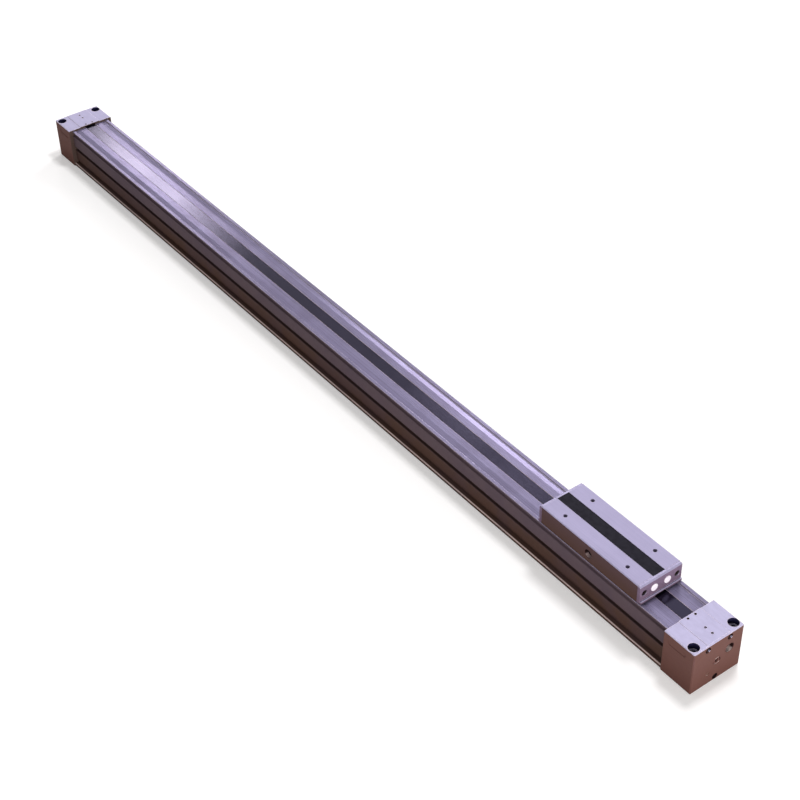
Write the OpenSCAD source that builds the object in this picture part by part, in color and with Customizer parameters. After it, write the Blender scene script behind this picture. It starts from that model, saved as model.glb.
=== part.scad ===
// Rodless pneumatic cylinder with a slit tube, mechanically joined to its table.
// X runs along the bore, Z is up. The origin is under the middle of the whole cylinder,
// in the plane that the two head covers stand on. The near end is the +X end.

/* [Cylinder] */
// Travel of the table from one end to the other
stroke = 1050; // [200:50:3000]
// How far the table stands back from the near end of its travel
table_back = 0; // [0:25:200]
// Bore of the tube
bore_d = 40; // [38:0.5:42]
// Height of the bore's axis above the base
bore_z = 28.8; // [27.8:0.1:29.8]
// From the middle of the table to the face of each head cover at the end of its travel
piston_reach = 125.5; // [115:0.5:150]

/* [Tube] */
// Width across the side panels
tube_w = 61; // [60:0.5:64]
// Height of the two rims above the base
rim_z = 58.3; // [57.5:0.1:59.5]
// Gap between the underside of the tube and the base
tube_lift = 0.5; // [0:0.1:1]
// Width of each rim that the table rides on
rim_w = 4.5; // [3.5:0.1:6]
// Depth of the flat land beside the slit below the rims
land_drop = 0.7; // [0.3:0.1:1.2]
// Width across the two lands
land_w = 36; // [34:0.5:40]
// Fall of each sloping channel between land and rim
channel_fall = 1; // [0.6:0.1:2.4]
// Width across the two foot flanges
foot_w = 69.2; // [67:0.2:71]
// Thickness of the foot flanges
foot_t = 4.5; // [3.5:0.1:5]
// Height of the clamping undercut above each flange
undercut_h = 4.5; // [4:0.1:6.5]
// Depth of the clamping undercut behind the side panel
undercut_depth = 3; // [2.5:0.1:4.5]
// Height of the mouth of the sensor slots
slot_h = 4.9; // [4.4:0.1:5.5]
// Depth of the sensor slots
slot_depth = 6; // [5:0.1:6.5]
// Height of the shallow groove under each rim
groove_h = 4.9; // [3:0.1:5.5]
// Depth of that groove
groove_depth = 2.4; // [1:0.1:3]

/* [Slit and bands] */
// Width of the slit
slit_w = 10; // [9:0.1:11]
// Width of the outer steel band
band_w = 16; // [15:0.5:17]
// Thickness of the outer steel band
band_t = 0.5; // [0.3:0.1:0.6]
// Width of the inner seal belt
belt_w = 12.4; // [12:0.2:14]
// Thickness of the inner seal belt
belt_t = 1.5; // [1:0.1:2]
// How far the outer band climbs over the yoke
band_rise = 4.3; // [3.8:0.1:5]
// How far the seal belt dips under the yoke's web
belt_dip = 7.1; // [6:0.1:8]

/* [Head covers] */
// Length of each head cover along the bore
cover_l = 44.5; // [40:0.5:60]
// Width of the head covers
cover_w = 72; // [72:0.5:80]
// Height of the covers' raised pads above the rims of the tube
cover_rise = 2.7; // [2.3:0.1:8]
// Height of the raised pad on top
pad_h = 0.8; // [0.4:0.1:1.2]
// Width of the raised pad
pad_w = 33.2; // [28:0.2:40]
// Distance of the mounting holes from the outer end face
mount_inset = 9; // [8:0.5:11]
// Distance between the two mounting holes of one cover
mount_pitch = 57.6; // [56:0.2:57.8]
// Diameter of the mounting holes
mount_d = 8.6; // [6.6:0.1:9]
// Diameter of the mounting counterbores
mount_cbore_d = 13; // [11:0.5:13]
// Depth of the mounting counterbores
mount_cbore_h = 8.5; // [6:0.5:12]
// Diameter of the air ports
port_d = 12; // [9:0.5:13]
// Depth of the air ports
port_depth = 15; // [12:0.5:16]
// Sideways place of the air ports
port_y = 17.5; // [16:0.5:20]
// Height of the air ports
port_z = 37; // [35:0.5:40]
// Sideways place of the cushion needles
needle_y = -12.7; // [-15:0.1:-11.5]
// How far the cushion needles lie below the bore's axis
needle_drop = 12.6; // [11.5:0.1:14]

/* [Table] */
// Length of the table over its end covers
table_l = 162; // [158:1:176]
// Width of the table
table_w = 61.4; // [60:0.2:70]
// Height of the table's top above the base
table_z = 84; // [83:0.5:90]
// Gap between the table and the rims
table_gap = 1.2; // [0.8:0.1:1.6]
// Thickness of the end covers of the table
end_t = 4; // [3.6:0.1:5]
// How far the lower lip of each end cover stands out
lip_out = 2; // [1:0.1:3]
// Height of that lip
lip_h = 3; // [2:0.1:4]
// Width of the cover strip in the top of the table
strip_w = 17; // [14:0.5:20]
// Thickness of the cover strip
strip_t = 2.8; // [2:0.1:3.5]
// Lengthwise pitch of the threaded holes in the top
work_pitch_x = 100; // [80:5:120]
// Crosswise pitch of the threaded holes in the top
work_pitch_y = 40; // [36:1:44]
// Diameter of the threaded holes in the top
work_d = 5; // [4:0.1:6]
// Depth of the threaded holes in the top
work_depth = 14; // [8:1:18]
// Diameter of the two guide rollers
roller_d = 10; // [8:0.5:11]

/* [Yoke] */
// Length of the yoke's web and ears
head_l = 44; // [36:1:50]
// Width across the ears of the yoke
head_w = 32; // [30:0.5:34]
// Width of the yoke's bar in the bore
yoke_w = 28; // [24:0.5:30]

/* [Piston] */
// Length of each piston
piston_l = 38; // [36:1:44]
// Outer diameter of the cushion rings
cushion_d = 16; // [14:0.5:18]
// Length of the cushion rings inside the bore
cushion_l = 22; // [16:1:23]

/* [Clearances] */
// Radial running clearance of the wear rings, the seals and the rollers
run_gap = 0.05; // [0.02:0.01:0.1]
// Clearance under the slide bearings
slide_gap = 0.05; // [0.02:0.01:0.1]
// Clearance between loose or soft pieces and what moves past them
soft_gap = 0.3; // [0.2:0.05:0.4]
// Radial clearance of screws, pins and seats in their holes
fit_gap = 0.05; // [0.02:0.01:0.1]

/* [Hidden] */
$fn = 64;
eps = 0.01;

// Lengths and places along X
tube_l = stroke + 2 * piston_reach;
tube_end = tube_l / 2;
table_x = stroke / 2 - table_back;
block_l = table_l - 2 * end_t;

// Heights in the tube
cover_h = rim_z + cover_rise;
bore_r = bore_d / 2;
bore_top = bore_z + bore_r;
land_z = rim_z - land_drop;
ledge_z = land_z - band_t - 0.1;
belt_z = bore_top + 0.2;
seat_z = belt_z + belt_t;
slot_z = bore_z + 0.2;
slot_inner_h = slot_h + 1.3;
magnet_w = 2.2;
magnet_h = 2.4;
magnet_y = slit_w / 2 + 0.8;
rim_lean = 0.8;

// Heights in the table and the yoke
table_bottom = rim_z + table_gap;
screw_z = table_z - 12;
bolt_z = table_z - 13;
head_z = land_z + 0.8;
head_top = bolt_z + 5.5;
ear_gap = band_w + 2;
web_w = slit_w - 2 * soft_gap;
tunnel_w = belt_w + 1;
tunnel_floor = belt_z - belt_dip - soft_gap;
tunnel_top = belt_z - belt_dip + belt_t + soft_gap;
yoke_r = bore_r - 0.5;
hump_flat = head_l / 2 + 2;
hump_run = block_l / 2 - roller_d - 5;
strip_floor = table_z - strip_t - 0.2;
channel_top = band_top() + roller_d + 1.4;

// Screws and stop buttons in the end covers of the table
end_screw_y = table_w / 2 - 7;
end_screw_r = 2;
end_screw_bite = 9;
end_head_r = 3.5;
end_head_h = 2.3;
end_sink = 2.9;
end_bevel = 1.8;
stop_y = 9.5;
stop_r = 2.5;
stop_bite = 10;

// Rollers
roller_x = block_l / 2 - roller_d / 2 - 0.5;
roller_z = band_top() + 0.1 + roller_d / 2;
shaft_r = 1.5;
shaft_l = 26;

// Pistons, measured from the outer face of each
stop_gap = 0.5;
piston_face = piston_reach - stop_gap;
piston_r = bore_r - soft_gap;
recess_r = cushion_d / 2 + 1.5;
recess_depth = cushion_l + 2;
spigot_r = 9;
spigot_l = piston_l - recess_depth - 4;
seal_x = 6;
seal_w = 5;
seal_depth = 3.5;
wear_x = 15;
wear_w = 10;
wear_depth = 1.6;
pin_r = 2;
pin_l = 34;
magnet_r = 4;
magnet_l = 4;

// Head cover details
clamp_l = 16;
pocket_l = clamp_l + 1;
pocket_w = band_w + 1.2;
pocket_top = cover_h - 1.6;
chamber_r = 5;
ring_seat = 12;
passage_r = 3.5;
passage_x = cover_l - port_depth - passage_r - 1;
gasket_r = bore_r + 0.9;
gasket_t = 1.5;
gasket_w = 1;
gasket_open = 50;
needle_z = bore_z - needle_drop;
needle_r = 2.5;
needle_l = 20;
plug_r = 4.8;
plug_l = 9;
clamp_screw_x = 3.2;
clamp_screw_y = band_w / 2 - 2.6;
clamp_screw_r = 1.5;
bleed_x = [cover_l - 21.1, cover_l - 11.2];
bleed_r = 1.5;
bleed_l = 5;
recess_w = 8;
recess_l = cover_l - 16.5;
recess_x = 5;
recess_z = cover_h - 11;
tube_bolt_r = 2;
tube_bolt_head_r = 3.5;
tube_bolt_head_h = 4;
tube_bolt_bite = 12;
tube_bolt_y = land_w / 2 - 2;
tube_bolts = [
    [-tube_bolt_y, land_z - 3.1],
    [tube_bolt_y, land_z - 3.1],
    [0, (tube_lift + bore_z - bore_r) / 2]
];

// Top face of the flat stretches of the outer band
function band_top() = ledge_z + band_t;

// 1 over the yoke, 0 beyond the hump, and a smooth curve between, at x from the table's middle
function lift(x) =
    abs(x) <= hump_flat ? 1 :
    abs(x) >= hump_run ? 0 :
    (1 - cos(180 * (hump_run - abs(x)) / (hump_run - hump_flat))) / 2;

// Places along the hump where the bands have a point
hump_steps = 10;
hump_x = [
    for (side = [-1, 1], i = [0:hump_steps])
        side * (side < 0 ? hump_run - i * (hump_run - hump_flat) / hump_steps
                         : hump_flat + i * (hump_run - hump_flat) / hump_steps)
];

function reverse(list) = [for (i = [len(list) - 1:-1:0]) list[i]];

// Cylinder along X that starts at [x, y, z]
module rod_x(r, l, p, sides = $fn) {
    translate(p) rotate([0, 90, 0]) cylinder(r = r, h = l, $fn = sides);
}

// Cylinder along Y that starts at [x, y, z]
module rod_y(r, l, p) {
    translate(p) rotate([-90, 0, 0]) cylinder(r = r, h = l);
}

// Box from one corner to the other
module box(from, to) {
    translate(from) cube(to - from);
}

// Outline in Y and Z, drawn out along X from x
module profile_x(x, l) {
    translate([x, 0, 0]) rotate([90, 0, 90]) linear_extrude(l) children();
}

// Outline in X and Z, drawn out along Y with the width w about the middle
module profile_y(w) {
    translate([0, w / 2, 0]) rotate([90, 0, 0]) linear_extrude(w) children();
}

// A piece and its mirror image across the XZ plane
module both_sides() {
    children();
    mirror([0, 1, 0]) children();
}

// A piece drawn with x from the tube's end outwards, placed at the near or the far end
module at_cover(side) {
    if (side > 0) translate([tube_end, 0, 0]) children();
    else translate([-tube_end, 0, 0]) mirror([1, 0, 0]) children();
}

// A piece drawn with x from the middle of the table, for the front or the rear half
module at_table(side) {
    translate([table_x, 0, 0])
        if (side > 0) children();
        else mirror([1, 0, 0]) children();
}

// A piece drawn with x from the outer face of a piston inwards
module at_piston(side) {
    at_table(side) translate([piston_face, 0, bore_z]) mirror([1, 0, 0]) children();
}

// Ring about X, from x, between two radii
module ring_x(x, l, inner, outer) {
    translate([x, 0, 0]) rotate([0, 90, 0]) rotate_extrude() translate([inner, 0])
        square([outer - inner, l]);
}

// Socket head screw along X: the head lies at x >= 0 and the shank at x < 0
module socket_screw(r, l, head_r, head_h, key) {
    difference() {
        union() {
            rod_x(head_r, head_h, [0, 0, 0]);
            rod_x(r, l + eps, [-l, 0, 0]);
        }
        rod_x(key / sqrt(3), head_h, [head_h * 0.45, 0, 0], 6);
    }
}

// ---- Tube ----

// Right half of the tube's section
module tube_half() {
    side = tube_w / 2;
    panel_z = bore_z + slot_h / 2 + 3;
    low_y = side - 0.9;
    foot_z = tube_lift + foot_t;
    groove_z = rim_z - 2.6;
    slot_lo = slot_z - slot_h / 2;
    slot_hi = slot_z + slot_h / 2;
    slot_lo_in = slot_z - slot_inner_h / 2;
    slot_hi_in = slot_z + slot_inner_h / 2;
    polygon([
        [0, tube_lift], [foot_w / 2 - 0.4, tube_lift], [foot_w / 2, tube_lift + 0.4],
        [foot_w / 2, foot_z - 0.6], [foot_w / 2 - 0.6, foot_z],
        [side - undercut_depth, foot_z], [side - undercut_depth, foot_z + undercut_h],
        [low_y, foot_z + undercut_h + 0.5],
        [side - 0.3, slot_lo], [side - 1.9, slot_lo],
        [side - 1.9, slot_lo_in], [side - slot_depth + 1, slot_lo_in],
        [side - slot_depth, slot_lo_in + 1], [side - slot_depth, slot_hi_in - 1],
        [side - slot_depth + 1, slot_hi_in], [side - 1.9, slot_hi_in],
        [side - 1.9, slot_hi], [side - 0.9, slot_hi],
        [side, panel_z], [side, groove_z - groove_h],
        [side - groove_depth, groove_z - groove_h + 0.8], [side - groove_depth, groove_z],
        [side, groove_z + 0.4], [side, rim_z - 0.5], [side - 0.5, rim_z],
        [side - rim_w + 0.3, rim_z], [side - rim_w, rim_z - 0.3],
        [side - rim_w - rim_lean, land_z - channel_fall],
        [side - rim_w - rim_lean - 0.4, land_z - channel_fall],
        [land_w / 2, land_z],
        [band_w / 2 + 0.3, land_z], [band_w / 2 + 0.3, ledge_z],
        [magnet_y + magnet_w, ledge_z], [magnet_y + magnet_w, ledge_z - magnet_h],
        [magnet_y, ledge_z - magnet_h], [magnet_y, ledge_z], [slit_w / 2, ledge_z],
        [slit_w / 2, seat_z], [belt_w / 2 + 0.1, seat_z], [belt_w / 2 + 0.1, bore_z],
        [0, bore_z]
    ]);
}

// Extruded tube with its bore, slit, sensor slots, foot flanges and threaded ends
module cylinder_tube() color("silver") difference() {
    both_sides() profile_x(-tube_end, tube_l) tube_half();
    rod_x(bore_r, tube_l + 2, [-tube_end - 1, 0, bore_z]);
    for (side = [-1, 1], p = tube_bolts)
        at_cover(side) rod_x(tube_bolt_r + fit_gap, tube_bolt_bite + 2, [-tube_bolt_bite - 1, p.x, p.y]);
}

// Magnet strip that holds the outer band down beside the slit
module seal_magnet(side) color("dimgray")
    mirror([0, side < 0 ? 1 : 0, 0])
        box([-tube_end, magnet_y, ledge_z - magnet_h], [tube_end, magnet_y + magnet_w, ledge_z]);

// ---- Bands ----

// Ribbon that lies at z and leaves it by rise where it passes the yoke
module ribbon(z, rise, t, w) {
    reach = tube_end + clamp_l - 2;
    line = concat(
        [[-reach, z]],
        [for (x = hump_x) [table_x + x, z + rise * lift(x)]],
        [[reach, z]]
    );
    profile_y(w) polygon(concat(line, reverse([for (p = line) [p.x, p.y + t]])));
}

module dust_band() color("lightgray") ribbon(ledge_z, band_rise, band_t, band_w);

module seal_belt() color("darkolivegreen") ribbon(belt_z, -belt_dip, belt_t, belt_w);

// ---- Head covers ----

// Block of a head cover with its bevelled edges and its raised pad
module cover_block() {
    top = cover_h - pad_h;
    half = cover_w / 2;
    intersection() {
        profile_x(0, cover_l) polygon([
            [-half, 0.6], [-half + 0.6, 0], [half - 0.6, 0], [half, 0.6],
            [half, top - 1], [half - 1, top], [pad_w / 2, top], [pad_w / 2 - pad_h, cover_h],
            [-pad_w / 2 + pad_h, cover_h], [-pad_w / 2, top], [-half + 1, top], [-half, top - 1]
        ]);
        profile_y(cover_w + 2) polygon([
            [0, 0], [cover_l - 0.6, 0], [cover_l, 0.6],
            [cover_l, top - 0.8], [cover_l - 0.8 - pad_h, cover_h], [0, cover_h]
        ]);
        linear_extrude(cover_h) polygon([
            [0, -half], [cover_l - 1, -half], [cover_l, 1 - half],
            [cover_l, half - 1], [cover_l - 1, half], [0, half]
        ]);
    }
}

// Shallow recess with round ends in the side of a head cover
module side_recess() {
    for (x = [recess_x, recess_x + recess_l - recess_w]) translate([x + recess_w / 2, 0, recess_z])
        rod_y(recess_w / 2, 2, [0, cover_w / 2 - 0.5, 0]);
    box([recess_x + recess_w / 2, cover_w / 2 - 0.5, recess_z - recess_w / 2],
        [recess_x + recess_l - recess_w / 2, cover_w / 2 + 1.5, recess_z + recess_w / 2]);
}

// Place of one air passage from the port's floor to the chamber behind the cushion ring
module air_passage() {
    dy = port_y;
    dz = port_z - bore_z;
    translate([passage_x, 0, bore_z]) rotate([atan2(dz, dy), 0, 0])
        rod_y(passage_r, norm([dy, dz]), [0, 0, 0]);
}

// Head cover with its air port, clamp pocket, mounting holes and screw seats
module head_cover(side) color("gainsboro") at_cover(side) difference() {
    cover_block();
    for (y = [-1, 1] * mount_pitch / 2) translate([cover_l - mount_inset, y, 0]) {
        translate([0, 0, -1]) cylinder(d = mount_d, h = cover_h + 2);
        translate([0, 0, cover_h - pad_h - mount_cbore_h]) cylinder(d = mount_cbore_d, h = mount_cbore_h + 2);
    }
    rod_x(port_d / 2, port_depth + 1, [cover_l - port_depth, port_y, port_z]);
    rod_x(passage_r + 1, 2 * passage_r + 2.6, [passage_x - passage_r - 0.6, port_y, port_z]);
    air_passage();
    rod_x(chamber_r, cover_l - plug_l + 1, [-1, 0, bore_z]);
    rod_x(cushion_d / 2 + fit_gap, ring_seat + 1, [-1, 0, bore_z]);
    rod_x(plug_r + fit_gap, plug_l + 1, [cover_l - plug_l, 0, bore_z]);
    rod_x(needle_r + fit_gap, needle_l + 1, [cover_l - needle_l, needle_y, needle_z]);
    translate([0, 0, bore_z]) ring_x(-1, gasket_t + 1, gasket_r, gasket_r + gasket_w);
    box([-1, -pocket_w / 2, belt_z], [pocket_l, pocket_w / 2, pocket_top]);
    for (p = tube_bolts) {
        rod_x(tube_bolt_r + fit_gap, cover_l + 2, [-1, p.x, p.y]);
        rod_x(tube_bolt_head_r + 0.3, tube_bolt_head_h + 3, [cover_l - tube_bolt_head_h - 2, p.x, p.y]);
    }
    for (y = [-1, 1] * clamp_screw_y)
        translate([clamp_screw_x, y, band_top()]) cylinder(r = clamp_screw_r + fit_gap, h = cover_h);
    for (x = bleed_x)
        translate([x, 0, cover_h - bleed_l - 1]) cylinder(r = bleed_r + fit_gap, h = bleed_l + 2);
    both_sides() side_recess();
}

// Open gasket ring round the bore, with its gap under the bands
module tube_gasket(side) color("black") at_cover(side)
    translate([0, 0, bore_z]) rotate([0, 90, 0]) rotate([0, 0, 180 + gasket_open / 2])
        rotate_extrude(angle = 360 - gasket_open) translate([gasket_r, 0]) square([gasket_w, gasket_t]);

// Hollow ring that enters the piston and cushions its stop
module cushion_ring(side) color("goldenrod") at_cover(side) translate([0, 0, bore_z]) {
    ring_x(-cushion_l + 1, ring_seat + cushion_l - 1, chamber_r - 1, cushion_d / 2);
    ring_x(-cushion_l, 1 + eps, chamber_r - 1, cushion_d / 2 - 0.8);
}

// Cushion needle: slotted head, seal groove and conical tip
module cushion_needle(side) color("peru") at_cover(side)
    translate([cover_l - 0.4, needle_y, needle_z]) rotate([0, -90, 0]) difference() {
        union() {
            cylinder(r = needle_r, h = 6);
            cylinder(r = needle_r - 0.7, h = 9);
            translate([0, 0, 8]) cylinder(r = needle_r, h = needle_l - 12);
            translate([0, 0, needle_l - 4 - eps]) cylinder(r1 = needle_r, r2 = 0.8, h = 3);
        }
        translate([-needle_r - 1, -0.4, -1]) cube([2 * needle_r + 2, 0.8, 2.2]);
    }

// Threaded plug with a hexagon socket in the middle of the end face
module port_plug(side) color("darkgray") at_cover(side)
    translate([cover_l - plug_l, 0, bore_z]) difference() {
        rod_x(plug_r, plug_l - 0.3, [0, 0, 0]);
        rod_x(5 / sqrt(3), 5, [plug_l - 4.3, 0, 0], 6);
    }

// The three screws that hold a head cover to the tube
module tube_bolt_set(side) color("dimgray") at_cover(side)
    for (p = tube_bolts)
        translate([cover_l - tube_bolt_head_h - 2, p.x, p.y])
            socket_screw(tube_bolt_r, cover_l - tube_bolt_head_h - 2 + tube_bolt_bite,
                tube_bolt_head_r, tube_bolt_head_h, 3);

// Block between the ends of the two bands
module belt_clamp(side) color("slategray") at_cover(side) difference() {
    box([0.2, -belt_w / 2, seat_z], [clamp_l, belt_w / 2, ledge_z]);
    translate([clamp_screw_x + 8, 0, seat_z - 1]) cylinder(r = 1.6, h = ledge_z - seat_z + 2);
}

// Pair of grub screws that press the bands on the clamp block
module clamp_screws(side) color("dimgray") at_cover(side)
    for (y = [-1, 1] * clamp_screw_y) translate([clamp_screw_x, y, band_top()]) difference() {
        cylinder(r = clamp_screw_r, h = cover_h - 0.3 - band_top());
        translate([0, 0, 1.2]) cylinder(r = 0.9, h = cover_h, $fn = 6);
    }

// Grub screws that close the two drillings on the middle line of the pad
module bleed_screws(side) color("dimgray") at_cover(side)
    for (x = bleed_x) translate([x, 0, cover_h - bleed_l - 1]) difference() {
        cylinder(r = bleed_r, h = bleed_l);
        translate([0, 0, bleed_l - 2]) cylinder(r = 0.9, h = 3, $fn = 6);
    }

// ---- Table ----

// Section of the table and its end covers, with its bevelled shoulders
module table_outline(inset = 0) {
    half = table_w / 2 - inset;
    top = table_z - inset;
    polygon([
        [-half, table_bottom + 0.5], [-half + 0.5, table_bottom], [half - 0.5, table_bottom],
        [half, table_bottom + 0.5], [half, top - 1], [half - 1, top], [-half + 1, top], [-half, top - 1]
    ]);
}

// Aluminium block of the table with its band channel, yoke pocket and threaded holes
module slide_table() color("silver") translate([table_x, 0, 0]) difference() {
    profile_x(-block_l / 2, block_l) table_outline();
    box([-block_l / 2 - 1, -ear_gap / 2, table_bottom - 1], [block_l / 2 + 1, ear_gap / 2, channel_top]);
    box([-head_l / 2 - 0.4, -head_w / 2 - 0.4, table_bottom - 1],
        [head_l / 2 + 0.4, head_w / 2 + 0.4, head_top + 0.4]);
    box([-block_l / 2 - 1, -strip_w / 2, strip_floor], [block_l / 2 + 1, strip_w / 2, table_z + 1]);
    both_sides() bearing_bar(fit_gap, table_bottom - 1);
    for (x = [-1, 1] * work_pitch_x / 2, y = [-1, 1] * work_pitch_y / 2)
        translate([x, y, table_z - work_depth]) cylinder(d = work_d, h = work_depth + 1);
    both_sides() {
        rod_y(5.5, 10, [0, table_w / 2 - 9, bolt_z]);
        rod_y(3 + fit_gap, 20, [0, head_w / 2 - 1, bolt_z]);
    }
    for (side = [-1, 1]) {
        rod_y(shaft_r + fit_gap, shaft_l, [side * roller_x, -shaft_l / 2, roller_z]);
        for (y = [-1, 1] * end_screw_y) screw_seat(side, end_screw_r, end_screw_bite, y);
        for (y = [-1, 1] * stop_y) screw_seat(side, stop_r, stop_bite, y);
    }
}

// Hole in one end of the table block for a screw that bites that deep
module screw_seat(side, r, bite, y) {
    mirror([side < 0 ? 1 : 0, 0, 0])
        rod_x(r + fit_gap, bite + 2, [block_l / 2 - bite - 1, y, screw_z]);
}

// Bearing strip in its pocket: grown by gap on each side, from z up
module bearing_bar(gap, z) {
    outer = tube_w / 2 - 0.6;
    box([-block_l / 2 + 8 - gap, outer - rim_w + 0.9 - gap, z],
        [block_l / 2 - 8 + gap, outer + gap, table_bottom + 1]);
}

// Resin strip that carries one side of the table on its rim
module slide_bearing(side) color("ivory") translate([table_x, 0, 0]) mirror([0, side < 0 ? 1 : 0, 0])
    bearing_bar(0, rim_z + slide_gap);

// Dark cover strip let into the top of the table
module table_cover_strip() color("darkslategray") translate([table_x, 0, 0]) {
    half = strip_w / 2 - fit_gap;
    top = table_z - 0.2;
    profile_x(-block_l / 2, block_l) polygon([
        [-half, strip_floor], [half, strip_floor], [half, top - 0.3], [half - 0.3, top],
        [-half + 0.3, top], [-half, top - 0.3]
    ]);
}

// End cover of the table, with the mouth for the bands and the seat of the scraper
module table_end(side) color("lightsteelblue") at_table(side) difference() {
    union() {
        profile_x(block_l / 2, end_t) table_outline(0.2);
        profile_y(table_w - 1.4) polygon([
            [block_l / 2 + eps, table_bottom], [table_l / 2 + lip_out, table_bottom],
            [table_l / 2 + lip_out, table_bottom + lip_h - 0.6],
            [table_l / 2 + lip_out - 0.6, table_bottom + lip_h], [block_l / 2 + eps, table_bottom + lip_h]
        ]);
    }
    box([block_l / 2 - 1, -band_w / 2 - 0.6, table_bottom - 1],
        [table_l / 2 + lip_out + 1, band_w / 2 + 0.6, band_top() + 3]);
    box([block_l / 2 - 1, -scraper_w() / 2 - fit_gap, table_bottom - 1],
        [block_l / 2 + scraper_t(), scraper_w() / 2 + fit_gap, scraper_top() + fit_gap]);
    for (y = [-1, 1] * end_screw_y) {
        rod_x(end_screw_r + fit_gap, end_t + 2, [block_l / 2 - 1, y, screw_z]);
        rod_x(end_head_r + 0.2, end_t, [table_l / 2 - end_sink, y, screw_z]);
    }
    for (y = [-1, 1] * stop_y) rod_x(stop_r + fit_gap, end_t + 2, [block_l / 2 - 1, y, screw_z]);
    translate([table_l / 2, 0, table_z - 0.2]) rotate([0, 45, 0])
        cube([end_bevel, table_w + 2, end_bevel] * sqrt(2), center = true);
}

function scraper_w() = table_w - 3;
function scraper_t() = 1.6;
function scraper_top() = table_bottom + 4.5;

// Pair of low head screws in the end cover
module end_screws(side) color("dimgray") at_table(side)
    for (y = [-1, 1] * end_screw_y) translate([table_l / 2 - end_sink, y, screw_z])
        socket_screw(end_screw_r, end_t - end_sink + end_screw_bite, end_head_r, end_head_h, 2.5);

// Pair of plated stop buttons on the end cover
module stopper(side) color("whitesmoke") at_table(side)
    for (y = [-1, 1] * stop_y) translate([table_l / 2, y, screw_z]) {
        rod_x(4.7, 0.8, [0, 0, 0]);
        translate([0.8 - eps, 0, 0]) rotate([0, 90, 0]) cylinder(r1 = 4.7, r2 = 4.2, h = 0.4);
        rod_x(stop_r, end_t + stop_bite + eps, [-end_t - stop_bite, 0, 0]);
    }

// Felt scraper behind the end cover, cut to the top of the tube
module scraper(side) color("dimgray") at_table(side) {
    rim_in = tube_w / 2 - rim_w;
    low = land_z - channel_fall;
    half = scraper_w() / 2;
    profile_x(block_l / 2, scraper_t()) polygon(concat(
        [[-half, scraper_top()]],
        scraper_edge(-1, half, rim_in, low),
        reverse(scraper_edge(1, half, rim_in, low)),
        [[half, scraper_top()]]
    ));
}

// Lower edge of the scraper on one side, from outside to the middle
function scraper_edge(s, half, rim_in, low) = [
    [s * half, rim_z + soft_gap], [s * (rim_in - soft_gap), rim_z + soft_gap],
    [s * (rim_in - rim_lean - soft_gap), low + soft_gap],
    [s * (rim_in - rim_lean - 0.6), low + soft_gap],
    [s * (land_w / 2 - 0.1), land_z + soft_gap], [s * 3, land_z + soft_gap]
];

// Steel shaft of a guide roller
module roller_shaft(side) color("lightgray") at_table(side)
    rod_y(shaft_r, shaft_l, [roller_x, -shaft_l / 2, roller_z]);

// Roller that presses the outer band back on the slit
module guide_roller(side) color("ivory") at_table(side)
    translate([roller_x, -band_w / 2 + 0.4, roller_z]) rotate([-90, 0, 0]) difference() {
        union() {
            cylinder(d = roller_d - 1, h = band_w - 0.8);
            translate([0, 0, 0.6]) cylinder(d = roller_d, h = band_w - 2);
        }
        translate([0, 0, -1]) cylinder(r = shaft_r + run_gap, h = band_w + 2);
    }

// ---- Yoke and pistons ----

// Yoke: bar in the bore, web through the slit, and the two ears that hold the table
module piston_yoke() color("gray") translate([table_x, 0, 0]) difference() {
    bar_l = piston_face - piston_l;
    union() {
        intersection() {
            rod_x(yoke_r, 2 * bar_l, [-bar_l, 0, bore_z]);
            union() {
                box([-bar_l, -yoke_w / 2, 0], [bar_l, yoke_w / 2, tunnel_floor]);
                box([-head_l / 2, -yoke_w / 2, 0], [head_l / 2, yoke_w / 2, bore_top]);
            }
        }
        rod_x(spigot_r, 2 * (bar_l + spigot_l), [-bar_l - spigot_l, 0, bore_z]);
        box([-head_l / 2, -web_w / 2, bore_z + 5], [head_l / 2, web_w / 2, head_z + 1]);
        box([-head_l / 2, -head_w / 2, head_z], [head_l / 2, head_w / 2, ledge_z + band_rise - soft_gap]);
        both_sides() box([-head_l / 2, ear_gap / 2, head_z], [head_l / 2, head_w / 2, head_top]);
    }
    box([-head_l / 2 - 1, -tunnel_w / 2, tunnel_floor], [head_l / 2 + 1, tunnel_w / 2, tunnel_top]);
    both_sides() rod_y(3 + fit_gap, head_w, [0, ear_gap / 2 - 1, bolt_z]);
    both_sides() rod_y(magnet_r + fit_gap, magnet_l + 1, [0, yoke_w / 2 - magnet_l, bore_z]);
    for (x = [-1, 1] * pin_x()) rod_y(pin_r + fit_gap, 2 * bore_r, [x, -bore_r, bore_z]);
}

// Place of the piston pins from the middle of the table
function pin_x() = piston_face - piston_l + spigot_l / 2;

// Bolts from both sides of the table into the yoke's ears
module yoke_bolts() color("dimgray") translate([table_x, 0, bolt_z]) both_sides()
    translate([0, table_w / 2 - 9, 0]) rotate([0, 0, 90])
        socket_screw(3, table_w / 2 - 9 - ear_gap / 2 - 1, 5, 5, 5);

// Wedge ahead of the web that parts the two bands
module belt_separator(side) color("ivory") at_table(side) {
    tip = hump_run - 2;
    steps = 8;
    from = head_l / 2;
    xs = [for (i = [0:steps]) from + i * (tip - from) / steps];
    profile_y(web_w) polygon(concat(
        [for (x = xs) [x, belt_z - belt_dip * lift(x) + belt_t + soft_gap]],
        reverse([for (x = xs) [x, ledge_z + band_rise * lift(x) - soft_gap]])
    ));
}

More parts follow.
